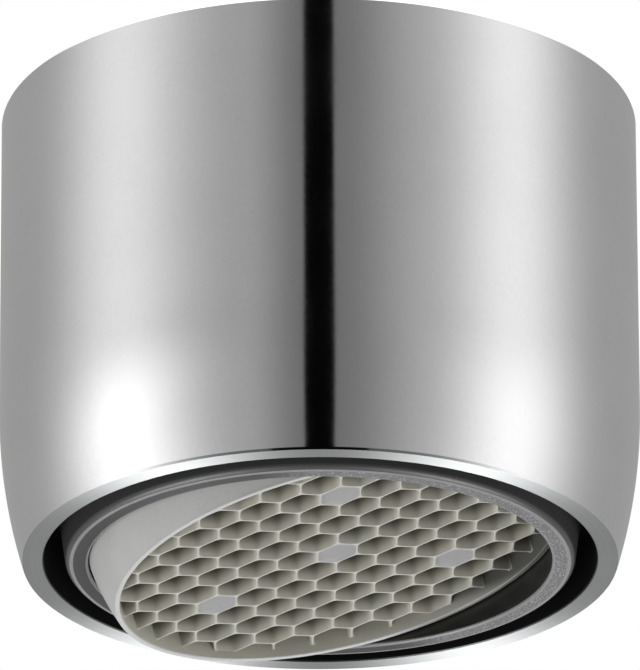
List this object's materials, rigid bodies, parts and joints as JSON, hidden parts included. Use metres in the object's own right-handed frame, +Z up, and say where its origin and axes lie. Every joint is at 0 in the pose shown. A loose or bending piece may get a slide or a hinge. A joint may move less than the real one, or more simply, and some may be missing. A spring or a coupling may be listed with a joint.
{
  "type": "tap aerator",
  "caption": "Threaded tap aerator: a chromed barrel housing holds a ball that tilts and turns, and the ball's honeycomb outlet evens the aerated stream.",
  "frame": {"origin": "centre of the sealing washer's upper face, where the end of the spout seats", "axes": "+Z up the spout along the thread; +X towards the side that the ball's outlet faces at rest"},
  "size_m": [0.024, 0.024, 0.0196],
  "materials": {
    "chrome": "polished",
    "seal_rubber": "matte",
    "casing_plastic": "satin",
    "ball_plastic": "satin",
    "insert_plastic": "satin"
  },
  "bodies": {
    "housing_body": {"housing": "chrome", "sealing_washer": "seal_rubber", "strainer": "insert_plastic", "socket_casing": "casing_plastic", "ball_retainer": "casing_plastic"},
    "seal_body": {"ball_seal": "seal_rubber"},
    "ball_body": {"swivel_ball": "ball_plastic", "lower_mixing_grid": "insert_plastic", "upper_mixing_grid": "insert_plastic", "jet_splitter": "insert_plastic"}
  },
  "joints": [
    {"name": "swivel_turn", "type": "hinge", "parent": "housing_body", "child": "seal_body", "pos_m": [0, 0, -0.00872], "axis": [0, 0, 1], "continuous": true},
    {"name": "swivel_tilt", "type": "hinge", "parent": "seal_body", "child": "ball_body", "pos_m": [0, 0, -0.00872], "axis": [0, 1, 0], "range_deg": [0, 25.08]}
  ]
}
